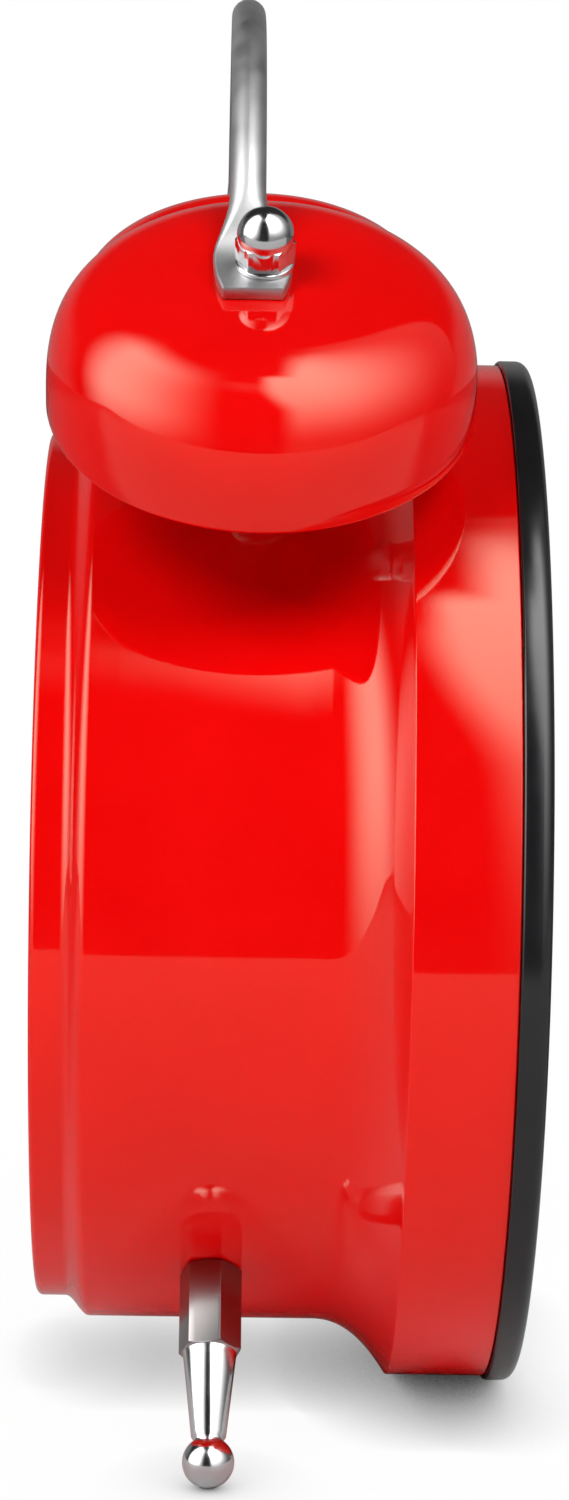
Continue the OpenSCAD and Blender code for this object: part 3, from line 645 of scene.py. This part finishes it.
handle = joined("handle_rod", [bar_section(*section) for section in handle_sections()])
edit(handle)
bpy.ops.mesh.bridge_edge_loops()
bpy.ops.mesh.select_all(action="SELECT")
bpy.ops.mesh.fill_holes(sides=0)
close_up(handle)
smooth(handle, 40)
fit(handle, "chrome", "case", "handle", look="handle_satin")

dome_line = [(DOME_R * math.sin(math.radians(k)), NUT_AT + 3.6 + DOME_R * math.cos(math.radians(k)))
             for k in range(0, 121, 6)]
dome_line += [(2.5, NUT_AT + 1.9), (0, NUT_AT + 1.9)]
flange_line = eased([(0, NUT_AT + 0.5, 0), (3.05, NUT_AT + 0.5, 0.15), (3.15, NUT_AT, 0.1), (0, NUT_AT, 0)])
for name, tilt in (("cap_nut_left", -BELL_TILT), ("cap_nut_right", BELL_TILT)):
    axis = spoke(tilt)
    hexed = hexagon(name, NUT_AF, NUT_AT + 0.35, NUT_AT + 3.2, bell_centre, axis, outward(axis, NUT_TURN))
    dome = turned(name + "_dome", dome_line, bell_centre, axis, FORWARD, 64)
    flange = turned(name + "_flange", flange_line, bell_centre, axis, FORWARD, 64)
    nut = fused(name, [hexed, dome, flange])
    smooth(nut, 20)
    fit(nut, "chrome", "case", "cap_nuts")

post_line = eased([
    (0, DRUM_R - 4, 0), (STUD_R, DRUM_R - 4, 0.1), (STUD_R, DRUM_R, 0), (POST_R, DRUM_R, 0.25),
    (POST_R, DRUM_R + 2.4, 0.2), (2.75, DRUM_R + 2.6, 0.15), (2.75, DRUM_R + 3.4, 0.15),
    (POST_R, DRUM_R + 3.6, 0.2), (POST_R, BELL_TOP_AT - BELL_T, 0.25), (STUD_R, BELL_TOP_AT - BELL_T, 0),
    (STUD_R, NUT_AT + 3.4, 0.2), (0, NUT_AT + 3.4, 0)])
posts = joined("bell_posts_turned", [
    turned("bell_posts_turned", post_line, bell_centre, spoke(tilt), FORWARD, 72)
    for tilt in (-BELL_TILT, BELL_TILT)])
smooth(posts, 35)
fit(posts, "iron", "case", "bell_posts")


# Hammer

head_line = eased([(0, -7.5, 0), (3.5, -7.5, 0.7), (3.5, -2.4, 0.2), (3.2, -2.1, 0.2), (3.2, 2.1, 0.2),
                   (3.5, 2.4, 0.2), (3.5, 7.5, 0.7), (0, 7.5, 0)])
arm_line = eased([(0, PIVOT_V + 1.6, 0), (1.1, PIVOT_V + 1.6, 0), (1.1, HEAD_V - 4.4, 0.1),
                  (1.5, HEAD_V - 4.0, 0.2), (1.5, HEAD_V - 2.6, 0), (0, HEAD_V - 2.6, 0)])
hub_line = eased([(1.08, -3.5, 0), (2.4, -3.5, 0.2), (2.4, 3.5, 0.2), (1.08, 3.5, 0)], ring=True)
head = turned("hammer_struck", head_line, place(0, HEAD_V, BELL_F), SIDE, UP, 72)
arm = turned("hammer_arm", arm_line, bell_centre, UP, SIDE, 48)
hub = turned("hammer_hub", hub_line, place(0, PIVOT_V, BELL_F), FORWARD, UP, 48)
armature = box("hammer_armature", (-0.8, PIVOT_V - 10.0, BELL_F - 2.5),
               (0.8, PIVOT_V - 1.5, BELL_F + 2.5), 0.2, 2)
hammer = fused("hammer_struck", [head, arm, hub, armature])
smooth(hammer, 35)
fit(hammer, "iron", "hammer", "hammer")


# Legs

def dull_hexagons(material):
    """Duller, darker plating on the hexagons of the legs: painted shade that stands in for the dark reflection
    of the drum they show.
    """
    tree = material.node_tree
    join = tree.links.new
    calc = partial(math_node, tree)
    shader = tree.nodes["Principled BSDF"]
    x, _, z = axes(tree, "Object")
    lean = math.radians(LEG_ANGLE)
    along = calc("MULTIPLY_ADD", z, -math.cos(lean), calc("MULTIPLY", calc("ABSOLUTE", x), math.sin(lean)))
    end = (HEX_END_AT - 0.1 - AXIS_H * math.cos(lean)) * MM
    soft = 0.15 * MM
    hexagon_part = ramp_node(tree, along, end - soft, end + soft, 1.0, 0.0, "LINEAR")
    # Painted shade: a darker base colour and a rougher gloss where the hexagon is
    for key, kind, first, second, value in (("Base Color", "RGBA", 6, 7, (0.27, 0.255, 0.25, 1)),
                                            ("Roughness", "FLOAT", 2, 3, 0.24)):
        mix = add(tree, "ShaderNodeMix", data_type=kind)
        join(hexagon_part, mix.inputs["Factor"])
        join(shader.inputs[key].links[0].from_socket, mix.inputs[first])
        mix.inputs[second].default_value = value
        join(mix.outputs[2 if kind == "RGBA" else 0], shader.inputs[key])


# Painted shade on the hexagons of the legs
dull_hexagons(leg_chrome)
leg_centre = place(0, 0, LEG_F)
taper_line = [(0, HEX_END_AT - 0.6), (2.7, HEX_END_AT - 0.6), (2.95, HEX_END_AT), (2.86, HEX_END_AT + 0.5),
              (1.9, FOOT_AT - 3.0), (1.66, FOOT_AT - 2.6), (1.62, FOOT_AT - 2.3)]
taper_line += [(FOOT_R * math.sin(math.radians(k)), FOOT_AT - FOOT_R * math.cos(math.radians(k)))
               for k in range(36, 181, 6)]
for name, angle in (("leg_left", 180 + LEG_ANGLE), ("leg_right", 180 - LEG_ANGLE)):
    axis = spoke(angle)
    hexed = hexagon(name + "_turned", LEG_AF, DRUM_R, HEX_END_AT, leg_centre, axis, outward(axis, LEG_TURN))
    taper = turned(name + "_taper", taper_line, leg_centre, axis, FORWARD, 72)
    leg = fused(name + "_turned", [hexed, taper])
    smooth(leg, 32)
    fit(leg, "chrome", "case", name, look="leg_chrome")


# Numbers of the dial

FONT_SHARE = 1.35
numbers = []
for hour in range(1, 13):
    clear_selection()
    out = spoke(30 * hour) * NUMBER_AT
    bpy.ops.object.text_add(location=place(out.x, out.z, NUMBER_F), rotation=(math.pi / 2, 0, 0))
    text = bpy.context.object
    text.data.body = str(hour)
    text.data.size = NUMBER_H * MM * FONT_SHARE
    text.data.align_x = "CENTER"
    text.data.align_y = "CENTER"
    text.data.extrude = NUMBER_T * MM
    bpy.ops.object.convert(target="MESH")
    numbers.append(settle(bpy.context.object))
dial_numbers = joined("dial_numbers", numbers)
close_up(dial_numbers)
fit(dial_numbers, "dial_black", "case")


# Hands

def pull(piece, rise, share):
    """Pulls the top face of a piece up by rise and makes its width the given share."""
    edit(piece, "DESELECT")
    bpy.ops.object.mode_set(mode="OBJECT")
    top = max(face.center.z for face in piece.data.polygons)
    for face in piece.data.polygons:
        face.select = face.center.z > top - 1e-7
    bpy.ops.object.mode_set(mode="EDIT")
    bpy.ops.mesh.extrude_region_move(TRANSFORM_OT_translate={"value": (0, 0, rise * MM)})
    bpy.ops.transform.resize(value=(share, 1, 1), center_override=rear_centre)
    bpy.ops.object.mode_set(mode="OBJECT")


def leaf_hand(name, length, tail, wide, hub, bore, back, thick, angle):
    """Hand that widens from its hub and ends in a point, turned clockwise by the angle."""
    front = back + thick
    leaf = box(name, (-wide / 2, -tail, back + 0.05), (wide / 2, length * 0.25, front - 0.05))
    pull(leaf, length * 0.45, 1.2)
    pull(leaf, length * 0.3 - 0.1, 0.08)
    rounded(leaf, thick * 0.24)
    hub_line = eased([(0, back, 0), (hub, back, 0.1), (hub, front, 0.12), (0, front, 0)])
    cut_by(leaf, turned(name + "_hub", hub_line, rear_centre, FORWARD, SIDE, 64), "UNION")
    hole_line = [(0, back - 1), (bore, back - 1), (bore, front + 1), (0, front + 1)]
    cut_by(leaf, turned(name + "_hole", hole_line, rear_centre, FORWARD, SIDE, 64))
    edit(leaf)
    bpy.ops.transform.rotate(value=math.radians(-angle), orient_axis="Y", center_override=rear_centre)
    close_up(leaf)
    smooth(leaf, 35)
    return leaf


# Node, slot and body, then length, tail, width, hub radius, bore radius, rear face, thickness and angle
for node, slot, body, *sizes in (("hour_hand", "hand_black", "hour", 27, 1, 3.0, 3.55, 1.95, 46.7, 0.6, 305),
                                 ("minute_hand", "hand_black", "minute", 39, 0, 2.6, 3.25, 1.25, 47.7, 0.5, 60),
                                 ("second_hand", "hand_red", "second", 42, 12, 0.9, 2.1, 0.5, 48.6, 0.4, 190),
                                 ("alarm_hand", "brass", "alarm", 20, 1, 1.6, 4.2, 2.7, 45.6, 0.6, 210)):
    fit(leaf_hand(node + "_leaf", *sizes), slot, body, node)


# Back: knobs, screws, switch and battery

knob_line = eased([(0, 1.3, 0), (3.9, 1.3, 0.15), (4.5, 0.9, 0.3), (KNOB_R, 0.9, 0.6), (KNOB_R, 4.7, 0.2),
                   (1.2, 4.7, 0), (1.2, 2.6, 0), (0, 2.6, 0)])
for name, body, node, x, v in (("set_knob_fluted", "setting", "set_knob", -11.25, 6.5),
                               ("alarm_knob_fluted", "alarm_setting", "alarm_knob", 12.46, 7.2)):
    knob = turned(name, knob_line, place(x, v, 0), FORWARD, SIDE, 144)
    flutes = []
    for k in range(FLUTES):
        out = spoke(90 - 360 / FLUTES * k) * (KNOB_R + 0.5)
        clear_selection()
        bpy.ops.mesh.primitive_cylinder_add(vertices=20, radius=MM, depth=6 * MM, rotation=aim(FORWARD, SIDE),
                                            location=place(x + out.x, v + out.z, 2.8))
        flutes.append(settle(bpy.context.object))
    cut_by(knob, joined(name + "_flutes", flutes))
    rounded(knob, 0.12, 40)
    smooth(knob, 35)
    fit(knob, "back_black", body, node, look="knob_black")

screw_line = eased([
    (0, 3.5, 0), (1.5, 3.5, 1.2), (2.25, 4.15, 0.4), (2.25, PLATE_F, 0.1), (1.1, PLATE_F, 0), (1.1, 10.4, 0.2),
    (0.7, 11.0, 0), (0, 11.0, 0)])
screws = []
for angle in (60, 180, 300):
    out = spoke(angle) * SCREW_AT
    screw = turned("back_screws_turned", screw_line, place(out.x, out.z, 0), FORWARD, SIDE, 64)
    for wide, high in ((1.6, 0.3), (0.3, 1.6)):
        cut_by(screw, box("screw_cross", (out.x - wide, out.z - high, 3.0), (out.x + wide, out.z + high, 4.2)))
    screws.append(screw)
screws = joined("back_screws_turned", screws)
smooth(screws, 35)
fit(screws, "iron", "case", "back_screws")

button = box("alarm_switch_ribbed", (-4.6, SWITCH_V - 2.6, 1.4), (0.6, SWITCH_V + 2.6, 4.7), 0.35)
for x in (-3.4, -2.0, -0.6):
    cut_by(button, box("switch_groove", (x - 0.3, SWITCH_V - 3, 1.0), (x + 0.3, SWITCH_V + 3, 2.0)))
cut_by(button, box("switch_neck", (-3.9, SWITCH_V - 1.1, 4.0), (-0.1, SWITCH_V + 1.1, 7.8)), "UNION")
cut_by(button, box("switch_slide", (-6.0, SWITCH_V - 3.0, 7.3), (2.0, SWITCH_V + 3.0, 8.4)), "UNION")
rounded(button, 0.1, 40)
smooth(button, 35)
fit(button, "switch_red", "switch", "alarm_switch")

cell_centre = place(0, CELL_V, CELL_F)
jacket_line = eased([
    (5.7, -24.9, 0), (7.25, -24.9, 0.5), (7.25, 10.2, 0), (7.19, 10.3, 0), (7.19, 10.6, 0), (7.25, 10.7, 0),
    (7.25, 23.85, 0.5), (5.0, 23.85, 0.1), (5.0, -24.9, 0)], ring=True)
can_line = eased([
    (0, -25.25, 0), (5.2, -25.25, 0.2), (5.6, -24.9, 0.1), (5.6, -24.0, 0), (4.9, -24.0, 0), (4.9, 23.6, 0.1),
    (2.7, 23.6, 0.2), (2.7, 25.25, 0.4), (0, 25.25, 0)])
for name, line, slot in (("battery_jacket", jacket_line, "cell_jacket"), ("battery_can", can_line, "iron")):
    cell = turned(name, line, cell_centre, SIDE, FORWARD, 96)
    smooth(cell, 35)
    fit(cell, slot, "case", "battery")


# Stage, light and camera

FLOOR_Z = 0.0
FLOOR_END = 3.0
TABLE_EDGE = -0.31
LIGHT_AIM = Vector((0, 0, 0.075))


def pale_floor():
    """Pale table with the shadow of the clock close by, mostly painted from ambient occlusion, that goes white
    further away.
    """
    material = bpy.data.materials.new("pale_floor")
    material.use_nodes = True
    tree = material.node_tree
    join = tree.links.new
    calc = partial(math_node, tree)
    ramp = partial(ramp_node, tree)
    shader = tree.nodes["Principled BSDF"]
    shader.inputs["Roughness"].default_value = 0.7
    ray = add(tree, "ShaderNodeLightPath")
    x, y, _ = axes(tree, "Object")
    # Darker in the gloss, and most of all at both sides of the far half
    aside = calc("ABSOLUTE", y)
    darker = calc("MULTIPLY_ADD", ramp(x, -0.03, 0.03, 0.0, -0.4), ramp(aside, 0.07, 0.12), -0.4)
    tone = use(material, drift, Scale=9.0, Low=0.86, High=0.88)
    join(calc("MULTIPLY_ADD", ray.outputs["Is Glossy Ray"], darker, tone.outputs["Value"]),
         shader.inputs["Base Color"])
    # Nearly white to the camera, but for a painted shadow, darkened by ambient occlusion, close under the clock
    away = add(tree, "ShaderNodeVectorMath", operation="LENGTH")
    join(add(tree, "ShaderNodeTexCoord").outputs["Object"], away.inputs[0])
    share = calc("MULTIPLY", ramp(away.outputs["Value"], 0.05, 0.16, 0.97, 1.0), ray.outputs["Is Camera Ray"])
    painted_contact_shadow = add(tree, "ShaderNodeAmbientOcclusion", samples=8, Distance=0.011)
    white = add(tree, "ShaderNodeEmission")
    join(calc("POWER", painted_contact_shadow.outputs["AO"], 0.62), white.inputs["Color"])
    blend = add(tree, "ShaderNodeMixShader")
    join(share, blend.inputs["Fac"])
    join(shader.outputs["BSDF"], blend.inputs[1])
    join(white.outputs["Emission"], blend.inputs[2])
    join(blend.outputs["Shader"], tree.nodes["Material Output"].inputs["Surface"])
    return material


floor_finish = pale_floor()


def floor_plate(name, start, end, in_gloss):
    """Part of the floor between two places along X, with or without a reflection in the clock."""
    clear_selection()
    bpy.ops.mesh.primitive_plane_add(size=1, location=((start + end) / 2, 0, FLOOR_Z))
    plate = settle(bpy.context.object, (end - start, 2 * FLOOR_END, 1))
    plate.name = name
    plate.data.materials.append(floor_finish)
    plate.visible_glossy = in_gloss


floor_plate("table_top", TABLE_EDGE, FLOOR_END, True)
floor_plate("floor_in_front", -FLOOR_END, TABLE_EDGE, False)


def soft_light(name, spot, wide, high, power):
    """Soft light on the clock that doesn't show in the gloss, where the room shows its own panels."""
    clear_selection()
    bpy.ops.object.light_add(type="AREA", location=spot)
    lamp = bpy.context.object
    lamp.name = name
    lamp.rotation_euler = (LIGHT_AIM - Vector(spot)).to_track_quat("-Z", "Y").to_euler()
    lamp.data.shape = "RECTANGLE"
    lamp.data.size = wide
    lamp.data.size_y = high
    lamp.data.energy = power
    lamp.visible_glossy = False


soft_light("light_rear_left", (-0.66, 0.52, 0.70), 0.5, 0.4, 5.8)
soft_light("light_dial_left", (-0.66, -0.40, 0.80), 0.5, 0.4, 5.4)
soft_light("light_dial_side", (0.5, -0.95, 0.6), 0.8, 0.6, 4.8)
soft_light("light_rear", (0.55, 0.95, 0.6), 0.8, 0.6, 4.8)
soft_light("light_right_side", (1.1, 0.0, 0.6), 0.8, 0.8, 6.0)


def studio_world():
    """White where the camera looks. In the gloss: a dark room with a pale backdrop on the right side and two
    large soft panels on the left side, one towards the rear and one towards the dial."""
    world = bpy.data.worlds.new("studio")
    bpy.context.scene.world = world
    world.use_nodes = True
    tree = world.node_tree
    join = tree.links.new
    calc = partial(math_node, tree)
    ramp = partial(ramp_node, tree)
    sky = tree.nodes["Background"]
    ray = add(tree, "ShaderNodeLightPath")
    x, y, z = axes(tree, "Generated")

    def times(*values):
        product = values[0]
        for value in values[1:]:
            product = calc("MULTIPLY", product, value)
        return product

    # Angles in radians. The turn is 0 on the left side of the clock and grows towards its rear.
    turn = calc("ARCTAN2", y, calc("MULTIPLY", x, -1.0))
    rise = calc("ARCSINE", z)
    rear_panel = times(ramp(turn, 0.30, 1.32, 0.0, 5.6), ramp(turn, 1.40, 1.88, 1.0, 0.0),
                       ramp(rise, -0.45, 0.40, 0.1, 1.0), ramp(rise, 1.0, 1.32, 1.0, 0.0))
    shift = times(ramp(rise, 0.5, 1.08, 0.0, 0.18), ramp(rise, 1.24, 1.34, 1.0, 0.0))
    inner_edge = ramp(calc("SUBTRACT", turn, shift), -0.34, -0.12, 1.0, 0.0)
    arched = times(calc("POWER", calc("ABSOLUTE", z), 4.0), 0.4)
    top_edge = ramp(calc("ADD", x, arched), 0.44, 0.47, 1.0, 0.0)
    over_top = calc("MAXIMUM", ramp(y, -0.16, -0.05, 1.0, 0.0), ramp(rise, 1.2, 1.3, 1.0, 0.0))
    dial_panel = times(inner_edge, top_edge, over_top, ramp(turn, -1.9, -0.5, 0.07, 1.0),
                       ramp(rise, -0.25, 1.25, 0.35, 6.4))
    between = times(ramp(turn, -0.12, -0.05), ramp(turn, 0.2, 0.5, 0.42, 0.0),
                    ramp(rise, 0.90, 1.10), ramp(rise, 1.08, 1.18, 1.0, 0.0))
    panels = calc("ADD", calc("MAXIMUM", rear_panel, dial_panel), between)
    backdrop = times(ramp(x, 0.3, 0.6, 0.0, 0.2), ramp(z, 0.3, 0.55, 1.0, 0.0))
    room = calc("ADD", calc("MAXIMUM", panels, backdrop), 0.03)
    # The room in the gloss, white to the camera and through the lens, and a faint even light elsewhere
    gloss = add(tree, "ShaderNodeMix", data_type="FLOAT")
    gloss.inputs["A"].default_value = 0.05
    join(ray.outputs["Is Glossy Ray"], gloss.inputs["Factor"])
    join(room, gloss.inputs["B"])
    seen = add(tree, "ShaderNodeMix", data_type="FLOAT")
    seen.inputs["B"].default_value = 1.0
    direct = calc("MAXIMUM", ray.outputs["Is Camera Ray"], ray.outputs["Is Transmission Ray"])
    join(direct, seen.inputs["Factor"])
    join(gloss.outputs["Result"], seen.inputs["A"])
    join(seen.outputs["Result"], sky.inputs["Strength"])
    sky.inputs["Color"].default_value = (1, 1, 1, 1)


studio_world()
bpy.context.scene.view_settings.view_transform = "Standard"

# Camera as fitted to the photo
CAMERA_AT = (-0.485467, 0.008753, 0.144003)
CAMERA_RIGHT = Vector((-0.01572, -0.99970, 0.01888))
CAMERA_UP = Vector((0.14578, 0.01639, 0.98918))
CAMERA_BACK = Vector((-0.98919, 0.01830, 0.14548))
clear_selection()
bpy.ops.object.camera_add()
camera = bpy.context.object
camera.name = "photo_camera"
camera.data.sensor_fit = "VERTICAL"
camera.data.sensor_height = 36.0
camera.data.lens = 101.42
camera.data.clip_start = 0.01
view = Matrix((CAMERA_RIGHT, CAMERA_UP, CAMERA_BACK)).transposed().to_4x4()
view.translation = CAMERA_AT
camera.matrix_world = view
bpy.context.scene.camera = camera
